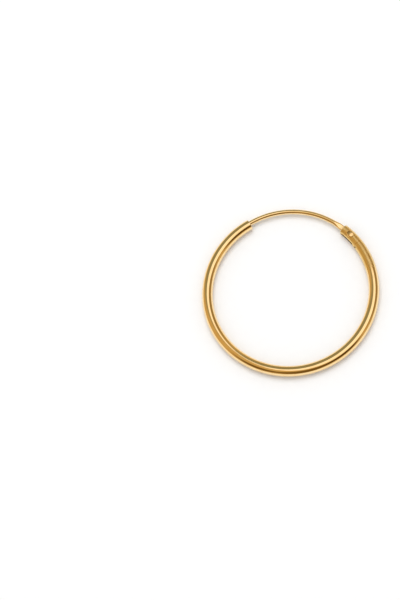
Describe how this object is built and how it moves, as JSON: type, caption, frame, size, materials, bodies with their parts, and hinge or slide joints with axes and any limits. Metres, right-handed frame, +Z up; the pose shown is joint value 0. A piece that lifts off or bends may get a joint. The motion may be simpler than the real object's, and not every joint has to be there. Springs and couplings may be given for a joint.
{
  "type": "hoop earring",
  "caption": "Round polished tube bent to an open hoop, with a thin ear wire that turns on a rivet in the tube's forked end and closes into its open mouth.",
  "frame": {"origin": "centre of the hoop's tube circle, down on the surface that the hoop lies on", "axes": "+Z up, along the hoop's own axis; +Y from the centre to the middle of the opening that the ear wire spans; the hinge is on the +X side and the mouth on the -X side"},
  "size_m": [0.025, 0.0248, 0.0015],
  "materials": {
    "tube_gold": "polished gold plate",
    "wire_gold": "polished gold plate, drawn wire",
    "rivet_gold": "burnished gold"
  },
  "bodies": {
    "hoop": {"hoop_tube": "tube_gold", "hinge_rivet": "rivet_gold"},
    "wire": {"ear_wire": "wire_gold"}
  },
  "joints": [
    {"name": "wire_hinge", "type": "hinge", "parent": "hoop", "child": "wire", "pos_m": [0.00778, 0.0088, 0.00075], "axis": [0, 0, -1], "range_deg": [0, 120]}
  ]
}
